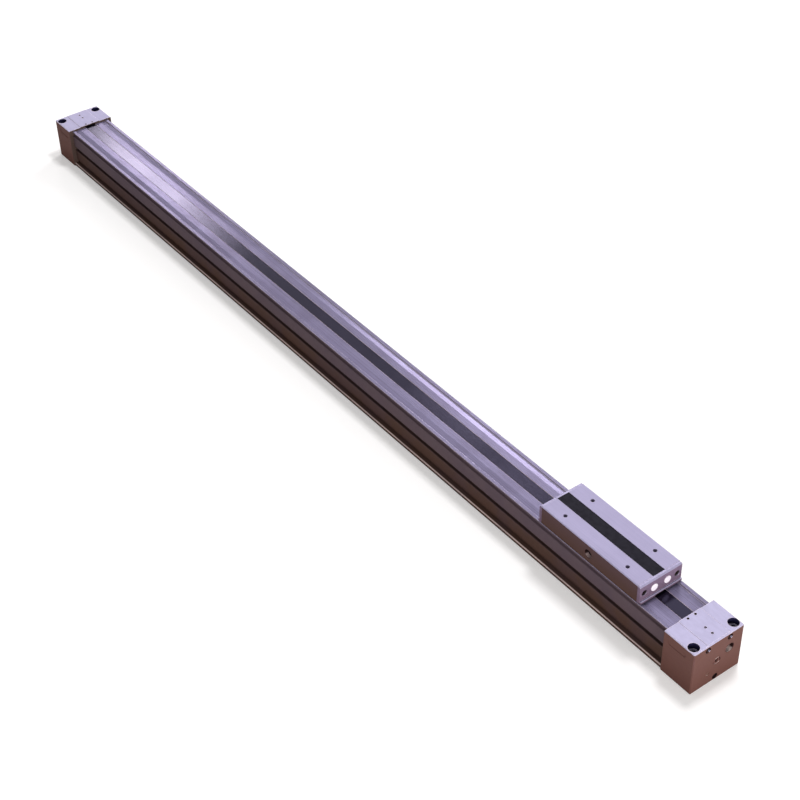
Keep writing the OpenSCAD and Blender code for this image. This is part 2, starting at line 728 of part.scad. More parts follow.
// Piston with its grooves, cushion recess and the seat of the yoke
module piston(side) color("silver") at_piston(side) difference() {
    rod_x(piston_r, piston_l, [0, 0, 0]);
    ring_x(seal_x, seal_w, piston_r - seal_depth, bore_r);
    ring_x(wear_x, wear_w, piston_r - wear_depth, bore_r);
    rod_x(recess_r, recess_depth + 1, [-1, 0, 0]);
    ring_x(2, 3, recess_r - 1, recess_r + 2);
    rod_x(spigot_r + fit_gap, spigot_l + 1, [piston_l - spigot_l, 0, 0]);
    rod_y(pin_r + fit_gap, pin_l, [piston_l - spigot_l / 2, -pin_l / 2, 0]);
}

// Pin that holds a piston on the yoke
module piston_pin(side) color("lightgray") at_piston(side)
    rod_y(pin_r, pin_l, [piston_l - spigot_l / 2, -pin_l / 2, 0]);

// Lip seal of a piston, open towards the pressure side
module piston_seal(side) color("black") at_piston(side)
    translate([seal_x, 0, 0]) rotate([0, 90, 0]) rotate_extrude() polygon([
        [piston_r - seal_depth, 0.2], [piston_r - 2, 0.2], [piston_r - 1.6, 2.6], [piston_r - 1, 2.6],
        [bore_r - 0.5, 0.2], [bore_r - 2 * run_gap, 0.9], [bore_r - 2 * run_gap, seal_w - 1.6],
        [bore_r - 0.8, seal_w], [piston_r - seal_depth, seal_w]
    ]);

// Resin guide ring of a piston
module wear_ring(side) color("sienna") at_piston(side)
    ring_x(wear_x, wear_w, piston_r - wear_depth, bore_r - run_gap);

// Seal ring in the mouth of a piston that closes on the cushion ring
module cushion_seal(side) color("black") at_piston(side)
    ring_x(2, 3, cushion_d / 2 + soft_gap, recess_r + 2);

// Pair of magnets in the yoke that the sensors in the slots detect
module sensor_magnets() color("dimgray") translate([table_x, 0, 0]) both_sides()
    rod_y(magnet_r, magnet_l, [0, yoke_w / 2 - magnet_l, bore_z]);

cylinder_tube();
head_cover(1);  // head_cover_near
head_cover(-1);  // head_cover_far
tube_gasket(1);  // tube_gasket_near
tube_gasket(-1);  // tube_gasket_far
cushion_ring(1);  // cushion_ring_near
cushion_ring(-1);  // cushion_ring_far
cushion_needle(1);  // cushion_needle_near
cushion_needle(-1);  // cushion_needle_far
port_plug(1);  // port_plug_near
port_plug(-1);  // port_plug_far
tube_bolt_set(1);  // tube_bolts_near
tube_bolt_set(-1);  // tube_bolts_far
belt_clamp(1);  // belt_clamp_near
belt_clamp(-1);  // belt_clamp_far
clamp_screws(1);  // clamp_screws_near
clamp_screws(-1);  // clamp_screws_far
bleed_screws(1);  // bleed_screws_near
bleed_screws(-1);  // bleed_screws_far
dust_band();
seal_belt();
seal_magnet(-1);  // seal_magnet_left
seal_magnet(1);  // seal_magnet_right
slide_table();
table_cover_strip();
table_end(1);  // table_end_front
table_end(-1);  // table_end_rear
end_screws(1);  // end_screws_front
end_screws(-1);  // end_screws_rear
stopper(1);  // stopper_front
stopper(-1);  // stopper_rear
scraper(1);  // scraper_front
scraper(-1);  // scraper_rear
slide_bearing(-1);  // slide_bearing_left
slide_bearing(1);  // slide_bearing_right
roller_shaft(1);  // roller_shaft_front
roller_shaft(-1);  // roller_shaft_rear
guide_roller(1);  // guide_roller_front
guide_roller(-1);  // guide_roller_rear
piston_yoke();
yoke_bolts();
belt_separator(1);  // belt_separator_front
belt_separator(-1);  // belt_separator_rear
piston(1);  // piston_front
piston(-1);  // piston_rear
piston_pin(1);  // piston_pin_front
piston_pin(-1);  // piston_pin_rear
piston_seal(1);  // piston_seal_front
piston_seal(-1);  // piston_seal_rear
wear_ring(1);  // wear_ring_front
wear_ring(-1);  // wear_ring_rear
cushion_seal(1);  // cushion_seal_front
cushion_seal(-1);  // cushion_seal_rear
sensor_magnets();
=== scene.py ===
"""Rodless pneumatic cylinder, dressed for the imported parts. Metres, +X along the bore, +Z up."""

import math

import bmesh
import bpy
from mathutils import Matrix, Vector


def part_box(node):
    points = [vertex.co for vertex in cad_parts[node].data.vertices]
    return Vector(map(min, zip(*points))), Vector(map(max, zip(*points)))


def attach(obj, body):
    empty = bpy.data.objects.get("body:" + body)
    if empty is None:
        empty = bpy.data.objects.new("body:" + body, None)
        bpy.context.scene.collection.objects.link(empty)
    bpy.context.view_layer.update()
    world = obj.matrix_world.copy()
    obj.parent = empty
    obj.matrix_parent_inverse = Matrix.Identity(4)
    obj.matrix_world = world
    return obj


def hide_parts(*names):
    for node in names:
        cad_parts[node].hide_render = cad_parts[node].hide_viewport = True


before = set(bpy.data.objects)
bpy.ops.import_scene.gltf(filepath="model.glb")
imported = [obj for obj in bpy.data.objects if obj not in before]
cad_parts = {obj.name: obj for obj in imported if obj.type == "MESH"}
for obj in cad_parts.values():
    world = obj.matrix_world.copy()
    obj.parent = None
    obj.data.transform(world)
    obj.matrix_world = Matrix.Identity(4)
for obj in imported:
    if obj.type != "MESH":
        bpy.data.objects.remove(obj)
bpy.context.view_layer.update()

# ---- Camera ----
# A long lens well above the near cover, on the side of the -Y sensor slot. The cylinder leads away
# from it, a little off level.
SENSOR_W = 36
LENS = 75.52
STAND = (1.45927, -0.95056, 1.35677)
sight = Vector((-0.62682, 0.45247, -0.63433)).normalized()
across = Vector((0.59891, 0.80055, -0.02079))
above = across.cross(sight).normalized()
camera_data = bpy.data.cameras.new("view")
camera_data.lens, camera_data.sensor_width = LENS, SENSOR_W
camera_data.clip_start, camera_data.clip_end = 0.05, 30
camera = bpy.data.objects.new("view", camera_data)
bpy.context.scene.collection.objects.link(camera)
turn = Matrix((sight.cross(above), above, -sight)).transposed()
camera.matrix_world = Matrix.Translation(STAND) @ turn.to_4x4()
bpy.context.scene.camera = camera


# ---- Drawn tube ----
# One aluminium extrusion holds the bore, the sealing channel, the sensor slots and the foot rails.
# It is drawn through a die, so that faint lines run along it, and anodised. Its upper faces are
# painted pale as lit and its sides brown-grey as painted shade.
def colour(red, green, blue):
    """A display colour, 0 to 255, as the linear colour that sockets take."""
    return [((c / 255 + 0.055) / 1.055) ** 2.4 for c in (red, green, blue)] + [1]


def add(tree, kind, sockets=(), **options):
    """Adds a node, sets its options, and gives its sockets a value or a link."""
    made = tree.nodes.new(kind)
    for option, value in options.items():
        setattr(made, option, value)
    for name, value in dict(sockets).items():
        if isinstance(value, bpy.types.NodeSocket):
            tree.links.new(value, made.inputs[name])
        else:
            made.inputs[name].default_value = value
    return made


def effect(name, inputs, outputs):
    """A new shader node group, with the sockets of its two ends."""
    tree = bpy.data.node_groups.new(name, "ShaderNodeTree")
    for label, kind, value in inputs:
        tree.interface.new_socket(label, in_out="INPUT", socket_type=kind).default_value = value
    for label, kind in outputs:
        tree.interface.new_socket(label, in_out="OUTPUT", socket_type=kind)
    return tree, tree.nodes.new("NodeGroupInput").outputs, tree.nodes.new("NodeGroupOutput").inputs


def use(tree, group, **values):
    """Places a group in a material. An underscore in a value's name is a space in its socket's."""
    return add(tree, "ShaderNodeGroup", {k.replace("_", " "): v for k, v in values.items()},
               node_tree=group).outputs


def scaled(tree, value, low, high, new_low=0.0, new_high=1.0):
    """A value's range stretched to another, with soft ends."""
    return add(tree, "ShaderNodeMapRange",
               {"Value": value, 1: low, 2: high, 3: new_low, 4: new_high},
               interpolation_type="SMOOTHSTEP").outputs["Result"]


def mixed(tree, factor, first, second):
    """Two colours mixed."""
    return add(tree, "ShaderNodeMix", {0: factor, 6: first, 7: second},
               data_type="RGBA").outputs[2]


def maths(tree, operation, first, second=0.0, **options):
    """One sum or comparison, the steps that masks are made of."""
    return add(tree, "ShaderNodeMath", {0: first, 1: second}, operation=operation,
               **options).outputs[0]


# Lines of the die or the grinding belt: noise drawn out along X.
drawn_lines, given, out = effect(
    "drawn lines",
    [("Line length", "NodeSocketFloat", 0.3), ("Line width", "NodeSocketFloat", 0.0008)],
    [("Lines", "NodeSocketFloat")])
place = add(drawn_lines, "ShaderNodeTexCoord").outputs["Object"]
along = maths(drawn_lines, "DIVIDE", 1.0, given["Line length"])
around = maths(drawn_lines, "DIVIDE", 1.0, given["Line width"])
stretch = add(drawn_lines, "ShaderNodeCombineXYZ", {0: along, 1: around, 2: around})
drawn = add(drawn_lines, "ShaderNodeVectorMath", {0: place, 1: stretch.outputs[0]},
            operation="MULTIPLY")
grain = add(drawn_lines, "ShaderNodeTexNoise", {"Vector": drawn.outputs[0], "Scale": 1.0,
                                                "Detail": 3.0, "Roughness": 0.6})
drawn_lines.links.new(scaled(drawn_lines, grain.outputs[0], 0.32, 0.68), out["Lines"])

# Handling: broad soft stains and small specks.
handling, given, out = effect(
    "handling",
    [("Patch size", "NodeSocketFloat", 0.05), ("Speck size", "NodeSocketFloat", 0.002)],
    [("Stain", "NodeSocketFloat"), ("Speck", "NodeSocketFloat")])
place = add(handling, "ShaderNodeTexCoord").outputs["Object"]
for size, low, high, result in (("Patch size", 0.35, 0.7, "Stain"),
                                ("Speck size", 0.62, 0.72, "Speck")):
    per_metre = maths(handling, "DIVIDE", 1.0, given[size])
    cloud = add(handling, "ShaderNodeTexNoise", {"Vector": place, "Scale": per_metre,
                                                 "Detail": 4.0, "Roughness": 0.55})
    handling.links.new(scaled(handling, cloud.outputs[0], low, high), out[result])

# Tone by the way a face looks, with light and shade painted in: faces that look up are painted pale
# as lit, the sides darker as painted shade, and darker still lower down. Walls that stand nearer
# the middle line than a given width get a bright painted highlight, and a low ledge that looks up
# gets a painted highlight towards its outer edge, with the flank's painted shade nearer the middle.
face_tone, given, out = effect(
    "face tone",
    [("Top", "NodeSocketColor", (1, 1, 1, 1)), ("Side", "NodeSocketColor", (1, 1, 1, 1)),
     ("Low", "NodeSocketColor", (1, 1, 1, 1)), ("Wall", "NodeSocketColor", (1, 1, 1, 1)),
     ("Ledge", "NodeSocketColor", (1, 1, 1, 1)), ("Low height", "NodeSocketFloat", 0.02),
     ("High height", "NodeSocketFloat", 0.04), ("Pale above", "NodeSocketFloat", -1.0),
     ("Pale within", "NodeSocketFloat", 0.0), ("Ledge below", "NodeSocketFloat", -1.0),
     ("Ledge inner", "NodeSocketFloat", 0.0), ("Ledge outer", "NodeSocketFloat", 0.001)],
    [("Color", "NodeSocketColor"), ("Pale", "NodeSocketFloat")])
place = add(face_tone, "ShaderNodeTexCoord")
facing = add(face_tone, "ShaderNodeSeparateXYZ", {0: place.outputs["Normal"]}).outputs[2]
point = add(face_tone, "ShaderNodeSeparateXYZ", {0: place.outputs["Object"]}).outputs
# The side tone, darker lower down: painted shade.
flank = mixed(face_tone, scaled(face_tone, point[2], given["Low height"], given["High height"]),
              given["Low"], given["Side"])
aside = maths(face_tone, "ABSOLUTE", point[1])
inside = maths(face_tone, "LESS_THAN", aside, given["Pale within"])
level = scaled(face_tone, facing, 0.15, 0.6)
high = maths(face_tone, "GREATER_THAN", point[2], given["Pale above"])
# Faces that look up, high on the part, take the pale top tone: painted light.
pale = maths(face_tone, "MULTIPLY", maths(face_tone, "MAXIMUM", level, inside), high)
leaning = maths(face_tone, "SUBTRACT", inside, level, use_clamp=True)
top = mixed(face_tone, leaning, given["Top"], given["Wall"])
# A painted highlight on the outer part of a low ledge; nearer the middle it keeps the flank's
# painted shade.
deep = maths(face_tone, "LESS_THAN", point[2], given["Ledge below"])
outward = scaled(face_tone, aside, given["Ledge inner"], given["Ledge outer"])
ledge_highlight = maths(face_tone, "MULTIPLY", maths(face_tone, "MULTIPLY", level, deep), outward)
flank_with_ledge_highlight = mixed(face_tone, ledge_highlight, flank, given["Ledge"])
face_tone.links.new(mixed(face_tone, pale, flank_with_ledge_highlight, top), out["Color"])
face_tone.links.new(pale, out["Pale"])

# Broken edges: a rounded normal where two faces meet, and how far it turns there.
broken_edge, given, out = effect(
    "broken edge", [("Radius", "NodeSocketFloat", 0.0004)],
    [("Edge", "NodeSocketFloat"), ("Normal", "NodeSocketVector")])
rounded = add(broken_edge, "ShaderNodeBevel", {"Radius": given["Radius"]}, samples=6)
flat = add(broken_edge, "ShaderNodeNewGeometry").outputs["Normal"]
agree = add(broken_edge, "ShaderNodeVectorMath", {0: rounded.outputs[0], 1: flat},
            operation="DOT_PRODUCT").outputs["Value"]
broken_edge.links.new(scaled(broken_edge, agree, 0.995, 0.85), out["Edge"])
broken_edge.links.new(rounded.outputs[0], out["Normal"])


def finish_material(name):
    """A new material, with its tree and its Principled shader."""
    made = bpy.data.materials.new(name)
    made.use_nodes = True
    return made, made.node_tree, made.node_tree.nodes["Principled BSDF"]


def anodised(name, top, side, low, heights, line=(0.4, 0.0009), line_depth=0.14,
             polish=(0.3, 0.44), metal=0.45, side_metal=0.04, side_rough=0.5,
             edge_colour=(205, 198, 215), edge_radius=0.0004, edge_wear_and_highlight=0.55, stain=0.2,
             relief=0.000006, pale_above=-1.0, pale_within=0.0, wall=(0, 0, 0), ledge=(0, 0, 0),
             ledge_below=-1.0, ledge_run=(0.0, 0.001), gloss=0.01, holes=None):
    """Anodised aluminium: light and shade painted by face, drawn or ground lines, stains, and
    broken edges made bright, partly as wear and partly as a painted highlight.

    heights are those where the low tone gives way to that of the side, line is the length and the
    width of a line, polish is the roughness on and off a line, and ledge_run is how far from the
    middle the painted highlight of a low ledge begins and is full."""
    made, tree, shader = finish_material(name)
    # The face tone paints the tops pale as lit and the sides darker as shade.
    face = use(tree, face_tone, Top=colour(*top), Side=colour(*side), Low=colour(*low),
               Wall=colour(*wall), Ledge=colour(*ledge), Low_height=heights[0],
               High_height=heights[1], Pale_above=pale_above, Pale_within=pale_within,
               Ledge_below=ledge_below, Ledge_inner=ledge_run[0], Ledge_outer=ledge_run[1])
    tone, pale = face["Color"], face["Pale"]
    if holes:
        inside = use(tree, bores, **holes)
        tone = mixed(tree, inside["Bore"], tone, inside["Color"])
        pale = maths(tree, "MULTIPLY", pale, maths(tree, "SUBTRACT", 1, inside["Bore"]))
    lines = use(tree, drawn_lines, Line_length=line[0], Line_width=line[1])["Lines"]
    marks = use(tree, handling, Patch_size=0.045, Speck_size=0.0016)
    edge = use(tree, broken_edge, Radius=edge_radius)
    lined = mixed(tree, scaled(tree, lines, 0, 1, 0.0, line_depth), tone, colour(40, 34, 44))
    stained = mixed(tree, scaled(tree, marks["Stain"], 0, 1, 0, stain), lined, colour(72, 62, 80))
    # Broken edges on faces that look up are made lighter: partly real wear, partly a painted
    # highlight.
    bright = maths(tree, "MULTIPLY", edge["Edge"], pale)
    worn_and_highlit = mixed(tree, scaled(tree, bright, 0, 1, 0, edge_wear_and_highlight), stained, colour(*edge_colour))
    tree.links.new(worn_and_highlit, shader.inputs["Base Color"])
    polished = scaled(tree, lines, 0, 1, *polish)
    rough = add(tree, "ShaderNodeMix", {0: pale, 2: side_rough, 3: polished})
    tree.links.new(rough.outputs[0], shader.inputs["Roughness"])
    tree.links.new(scaled(tree, pale, 0, 1, side_metal, metal), shader.inputs["Metallic"])
    bump = add(tree, "ShaderNodeBump", {"Height": lines, "Distance": relief, "Strength": 1.0,
                                        "Normal": edge["Normal"]})
    tree.links.new(bump.outputs[0], shader.inputs["Normal"])
    shader.inputs["Specular IOR Level"].default_value = gloss
    return made


def dress(material, *names):
    """Gives CAD nodes a finish."""
    for name in names:
        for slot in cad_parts[name].material_slots:
            slot.material = material


# The drawn tube's painted light: a pale crown on top, bright painted highlights on the walls inside
# its rims and on the outer edge of its feet, and painted shade on its sides, darker lower down.
FLANK_BLEND = (0.022, 0.036)
CROWN_ABOVE = 0.0525
RIMS_OUTSIDE = 0.0276
FEET_BELOW = 0.012
FOOT_EDGE = (0.0325, 0.034)
tube_finish = anodised(
    "drawn tube", (119, 113, 139), (95, 80, 86), (82, 61, 53), FLANK_BLEND, line=(0.5, 0.0007),
    line_depth=0.06, polish=(0.27, 0.31), edge_colour=(236, 216, 222), edge_radius=0.0009,
    edge_wear_and_highlight=0.85, pale_above=CROWN_ABOVE, pale_within=RIMS_OUTSIDE, wall=(236, 224, 250),
    ledge=(222, 200, 194), ledge_below=FEET_BELOW, ledge_run=FOOT_EDGE)
dress(tube_finish, "cylinder_tube")

# ---- Head covers ----
# Each end is closed by a cover milled from bar, blasted and anodised. It carries the air port,
# two long mounting holes and the seats of the small screws.

# Inside of drilled holes, told by its place behind the outer faces, painted in shade. Above a given
# height the walls of the upright holes have one dark tone, painted shade. Elsewhere a bore is
# painted dark as shade, and above a low height a wall in it that looks up gets a painted highlight,
# as if it caught the light. The face that backs on the tube, short of the inner limit, is painted
# in shade.
bores, given, out = effect(
    "bores",
    [("Middle", "NodeSocketFloat", 0.0), ("Inner face", "NodeSocketFloat", -1.0),
     ("Outer face", "NodeSocketFloat", 1.0), ("Half width", "NodeSocketFloat", 1.0),
     ("Upright above", "NodeSocketFloat", 0.0), ("Upright beyond", "NodeSocketFloat", 0.0),
     ("Lit above", "NodeSocketFloat", 0.012),
     ("Wall", "NodeSocketColor", (0, 0, 0, 1)), ("Dark", "NodeSocketColor", (0, 0, 0, 1)),
     ("Lit", "NodeSocketColor", (1, 1, 1, 1)), ("Back", "NodeSocketColor", (0, 0, 0, 1))],
    [("Color", "NodeSocketColor"), ("Bore", "NodeSocketFloat")])
place = add(bores, "ShaderNodeTexCoord")
facing = add(bores, "ShaderNodeSeparateXYZ", {0: place.outputs["Normal"]}).outputs[2]
point = add(bores, "ShaderNodeSeparateXYZ", {0: place.outputs["Object"]}).outputs
away = maths(bores, "ABSOLUTE", maths(bores, "SUBTRACT", point[0], given["Middle"]))
aside = maths(bores, "ABSOLUTE", point[1])
lengthwise = maths(bores, "MULTIPLY", maths(bores, "GREATER_THAN", away, given["Inner face"]),
                   maths(bores, "LESS_THAN", away, given["Outer face"]))
behind = maths(bores, "MULTIPLY", lengthwise,
               maths(bores, "LESS_THAN", aside, given["Half width"]))
high = maths(bores, "GREATER_THAN", point[2], given["Upright above"])
open_floor = maths(bores, "MULTIPLY", high, maths(bores, "GREATER_THAN", facing, 0.5))
drilled = maths(bores, "MULTIPLY", behind, maths(bores, "SUBTRACT", 1, open_floor))
back = maths(bores, "MULTIPLY", maths(bores, "LESS_THAN", away, given["Inner face"]),
             maths(bores, "LESS_THAN", facing, 0.5))
bores.links.new(maths(bores, "MAXIMUM", drilled, back), out["Bore"])
upright = maths(bores, "MULTIPLY", high,
                maths(bores, "GREATER_THAN", aside, given["Upright beyond"]))
across_height = maths(bores, "MULTIPLY", maths(bores, "SUBTRACT", 1, high),
                      maths(bores, "GREATER_THAN", point[2], given["Lit above"]))
catches = maths(bores, "MULTIPLY", scaled(bores, facing, 0.45, 0.8), across_height)
across_bore = mixed(bores, catches, given["Dark"], given["Lit"])
walls = mixed(bores, upright, across_bore, given["Wall"])
bores.links.new(mixed(bores, back, walls, given["Back"]), out["Color"])

# What lies less than this behind an outer face is still that face.
SKIN = 0.0003
cover_low, cover_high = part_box("head_cover_near")
# Painted light in the cover's holes: dark blue shade on the upright walls, dark brown shade in the
# bores, a pale painted highlight on their lower walls, and painted shade on the face against the
# tube.
cover_holes = {"Inner face": cover_low.x + SKIN, "Outer face": cover_high.x - SKIN,
               "Half width": cover_high.y - 2 * SKIN, "Upright above": 0.0435,
               "Upright beyond": 0.0215, "Wall": colour(46, 44, 76), "Dark": colour(44, 26, 26),
               "Lit": colour(232, 208, 202), "Back": colour(88, 72, 66)}
# The cover's pale top is painted light and its brown sides painted shade, darker towards the
# bottom.
cover_finish = anodised(
    "blasted cover", (176, 171, 198), (108, 77, 71), (100, 68, 61), (0.0, 0.05),
    line=(0.01, 0.004), line_depth=0.04, polish=(0.56, 0.62), metal=0.25,
    edge_colour=(255, 240, 248), edge_radius=0.001, edge_wear_and_highlight=0.95, stain=0.04,
    pale_above=0.0512, holes=cover_holes)
dress(cover_finish, "head_cover_near", "head_cover_far")


# ---- Port and table threads ----
# The air ports and the four holes in the table are tapped. Each thread is one ridge that winds
# down the wall of its hole.
def shape_tree(name, inputs):
    """A new geometry tree with a mesh input and output, and named inputs for its sizes."""
    tree = bpy.data.node_groups.new(name, "GeometryNodeTree")
    tree.interface.new_socket("Path", in_out="INPUT", socket_type="NodeSocketGeometry")
    for label, kind, value in inputs:
        socket = tree.interface.new_socket(label, in_out="INPUT", socket_type=kind)
        if value is not None:
            socket.default_value = value
    tree.interface.new_socket("Shape", in_out="OUTPUT", socket_type="NodeSocketGeometry")
    return tree, tree.nodes.new("NodeGroupInput").outputs, tree.nodes.new("NodeGroupOutput").inputs


def close_tree(tree, geometry, material, out):
    """Makes the instances real, sets the material and ends the tree."""
    real = add(tree, "GeometryNodeRealizeInstances", {0: geometry})
    faced = add(tree, "GeometryNodeSetMaterial",
                {"Geometry": real.outputs[0], "Material": material})
    tree.links.new(faced.outputs[0], out[0])


def spread(tree, points, form, seed):
    """Sets a form on every point, turned as the point says and by chance about its own axis."""
    turn = add(tree, "GeometryNodeInputNamedAttribute", {"Name": "turn"}, data_type="FLOAT_VECTOR")
    lay = add(tree, "FunctionNodeEulerToRotation", {0: turn.outputs[0]})
    chance = add(tree, "FunctionNodeRandomValue", {3: math.tau, "Seed": seed}, data_type="FLOAT")
    spin = add(tree, "ShaderNodeCombineXYZ", {2: chance.outputs[1]})
    spun = add(tree, "FunctionNodeEulerToRotation", {0: spin.outputs[0]})
    both = add(tree, "FunctionNodeRotateRotation", {0: lay.outputs[0], 1: spun.outputs[0]},
               rotation_space="LOCAL")
    return add(tree, "GeometryNodeInstanceOnPoints",
               {"Points": points, "Instance": form, "Rotation": both.outputs[0]}).outputs[0]


def piece(name, points, tree, body, slot, replaces=(), edges=(), turns=(), **values):
    """Runs a geometry tree on points and edges, and keeps the result as a plain mesh on a body."""
    mesh = bpy.data.meshes.new(name)
    mesh.from_pydata(points, edges, [])
    if turns:
        layer = mesh.attributes.new("turn", "FLOAT_VECTOR", "POINT")
        layer.data.foreach_set("vector", [angle for turn in turns for angle in turn])
    made = bpy.data.objects.new(name, mesh)
    bpy.context.scene.collection.objects.link(made)
    modifier = made.modifiers.new("shape", "NODES")
    modifier.node_group = tree
    for item in tree.interface.items_tree:
        label = item.name.replace(" ", "_")
        if item.in_out == "INPUT" and label in values:
            modifier[item.identifier] = values[label]
    made.update_tag()
    graph = bpy.context.evaluated_depsgraph_get()
    result = bpy.data.meshes.new_from_object(made.evaluated_get(graph))
    made.modifiers.clear()
    made.data = result
    result.name = name
    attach(made, body)
    if replaces:
        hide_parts(*replaces)
    return made


def thread_tree(name, material):
    """A tapped thread: a diamond section swept down a helix, at each point."""
    tree, given, out = shape_tree(name, [("Radius", "NodeSocketFloat", 0.006),
                                         ("Pitch", "NodeSocketFloat", 0.0013),
                                         ("Depth", "NodeSocketFloat", 0.012),
                                         ("Ridge", "NodeSocketFloat", 0.0005),
                                         ("Seed", "NodeSocketInt", 3)])
    windings = maths(tree, "DIVIDE", given["Depth"], given["Pitch"])
    helix = add(tree, "GeometryNodeCurveSpiral",
                {"Resolution": 40, "Rotations": windings, "Start Radius": given["Radius"],
                 "End Radius": given["Radius"], "Height": given["Depth"]})
    down = add(tree, "GeometryNodeTransform", {"Geometry": helix.outputs[0],
                                               "Rotation": (math.pi, 0, 0)})
    ridge = add(tree, "GeometryNodeCurvePrimitiveCircle",
                {"Resolution": 4, "Radius": given["Ridge"]})
    swept = add(tree, "GeometryNodeCurveToMesh", {0: down.outputs[0], 1: ridge.outputs[0],
                                                  "Fill Caps": True})
    close_tree(tree, spread(tree, given["Path"], swept.outputs[0], given["Seed"]), material, out)
    return tree


def facing_out(way):
    """The turn that lays a form's axis along X, with its top outwards."""
    return (0, way * math.pi / 2, 0)


def outer_face(node, way):
    """Where a CAD node ends along X, on its outer side."""
    low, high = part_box(node)
    return high.x if way > 0 else low.x


ENDS = {"near": 1, "far": -1}
PORT_Y, PORT_Z = 0.0175, 0.037
THREAD_RIDGE = 0.0006
port_thread = thread_tree("port thread", cover_finish)
for end, way in ENDS.items():
    start = outer_face("head_cover_" + end, way) - way * THREAD_RIDGE
    piece("port_thread_" + end, [(start, PORT_Y, PORT_Z)], port_thread, "barrel",
          "cover_aluminium", turns=[facing_out(way)],
          Radius=0.0061, Pitch=0.00134, Depth=0.012, Ridge=THREAD_RIDGE)


# ---- Small screws of the covers ----
# Black socket head screws hold each cover on the tube. Grub screws press the bands on the clamp,
# and two more close drillings on the middle line of the pad.
SEGMENTS = 48
KNURL_DEPTH = 0.035
HEX_CORNER = 0.58


def turned(name, rings):
    """A closed turned form along Z. A ring is its radius, its height and its outline, which is
    round, or a hexagon whose radius is that of its corners, or knurled."""
    mesh = bpy.data.meshes.new(name)
    form = bmesh.new()
    rows = []
    for radius, level, outline in rings:
        row = []
        for step in range(SEGMENTS):
            angle = math.tau * step / SEGMENTS
            reach = radius
            if outline == "hex":
                reach *= math.cos(math.pi / 6) / math.cos(angle % (math.pi / 3) - math.pi / 6)
            elif outline == "knurl" and step % 2:
                reach *= 1 - KNURL_DEPTH
            row.append(form.verts.new((reach * math.cos(angle), reach * math.sin(angle), level)))
        rows.append(row)
    for lower, upper in zip(rows, rows[1:]):
        for step in range(SEGMENTS):
            after = (step + 1) % SEGMENTS
            form.faces.new((lower[step], lower[after], upper[after], upper[step]))
    form.faces.new(reversed(rows[0]))
    form.faces.new(rows[-1])
    bmesh.ops.recalc_face_normals(form, faces=form.faces)
    form.to_mesh(mesh)
    form.free()
    made = bpy.data.objects.new(name, mesh)
    bpy.context.scene.collection.objects.link(made)
    return made


def hex_socket(key, mouth, top, chamfer, floor, tip):
    """The last rings of a form: a hexagon socket, with a countersunk mouth and a drilled point."""
    return [(key * mouth, top, "round"), (key * HEX_CORNER, top - chamfer, "hex"),
            (key * HEX_CORNER, floor, "hex"), (key * 0.1, tip, "round")]


def cap_screw(name, shank_r, shank_l, head_r, head_h, key):
    """A socket head screw: its head stands on Z = 0, and its shank goes down."""
    deep = head_h * 0.45
    return turned(name, [
        (shank_r * 0.8, -shank_l, "round"), (shank_r, 0.0004 - shank_l, "round"),
        (shank_r, 0, "round"), (head_r * 0.97, 0, "round"), (head_r, 0.0002, "knurl"),
        (head_r, head_h - 0.0006, "knurl"), (head_r * 0.98, head_h - 0.0003, "round"),
        (head_r - 0.0003, head_h, "round"),
        *hex_socket(key, 0.64, head_h, 0.0003, deep, deep - key * 0.2)])


def grub_screw(name, radius, length, key):
    """A headless screw whose top lies at Z = 0."""
    return turned(name, [
        (radius * 0.6, -length, "round"), (radius, 0.0005 - length, "round"),
        (radius, -0.0003, "round"), (radius - 0.0003, 0, "round"),
        *hex_socket(key, 0.66, 0, 0.0002, -0.0014, -0.0018)])


def screws_tree(name, material):
    """Sets one turned form on every point, in a chance turn about its own axis."""
    tree, given, out = shape_tree(name, [("Form", "NodeSocketObject", None),
                                         ("Seed", "NodeSocketInt", 5)])
    form = add(tree, "GeometryNodeObjectInfo", {"Object": given["Form"]},
               transform_space="ORIGINAL")
    close_tree(tree, spread(tree, given["Path"], form.outputs["Geometry"], given["Seed"]),
               material, out)
    return tree


def plain_metal(name, base, second, rough, metal, gloss=0.5, patch=0.01, relief=0.00001):
    """A small metal part: two tones in soft patches, a fine grain and broken edges."""
    made, tree, shader = finish_material(name)
    marks = use(tree, handling, Patch_size=patch, Speck_size=0.0006)
    edge = use(tree, broken_edge, Radius=0.00025)
    tone = mixed(tree, marks["Stain"], colour(*base), colour(*second))
    worn_and_highlit = mixed(tree, scaled(tree, edge["Edge"], 0, 1, 0, 0.35), tone,
                 colour(*[min(255, c + 60) for c in base]))
    tree.links.new(worn_and_highlit, shader.inputs["Base Color"])
    tree.links.new(scaled(tree, marks["Stain"], 0, 1, *rough), shader.inputs["Roughness"])
    bump = add(tree, "ShaderNodeBump", {"Height": marks["Speck"], "Distance": relief,
                                        "Normal": edge["Normal"]})
    tree.links.new(bump.outputs[0], shader.inputs["Normal"])
    shader.inputs["Metallic"].default_value = metal
    shader.inputs["Specular IOR Level"].default_value = gloss
    return made


